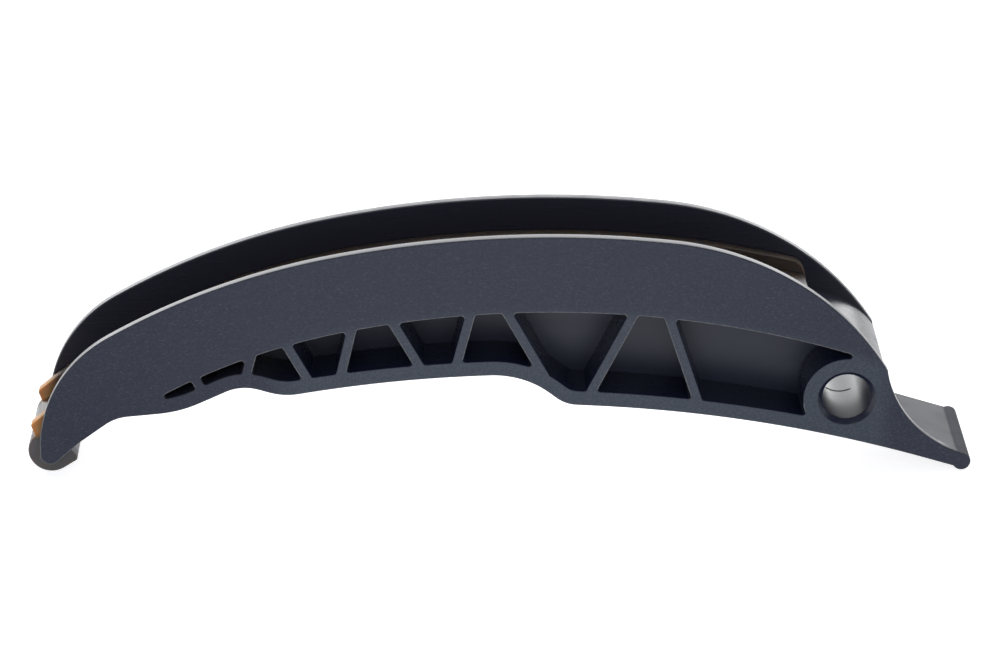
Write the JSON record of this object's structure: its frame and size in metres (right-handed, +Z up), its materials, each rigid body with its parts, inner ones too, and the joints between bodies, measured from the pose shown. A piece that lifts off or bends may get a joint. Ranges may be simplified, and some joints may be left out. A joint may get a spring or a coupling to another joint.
{
  "type": "timing chain guide",
  "caption": "Curved swinging guide for a timing chain: dark ribbed carrier with a pivot eye, a foot and two cheeks, and a hooked brown lining that the chain slides on.",
  "frame": {"origin": "on the pivot bore's axis, at mid width", "axes": "+X along the guide from the hook towards the foot, +Y along the pivot axis towards the side without the gusset, +Z up from the lower chord to the cheeks"},
  "size_m": [0.2129, 0.024, 0.0583],
  "materials": {
    "carrier": "dark slate glass-filled nylon, satin with a fine grain",
    "lining": "brown wear-resistant nylon, slightly translucent at thin edges"
  },
  "bodies": {
    "root": {"carrier": "carrier", "slide_lining": "lining"}
  },
  "joints": []
}
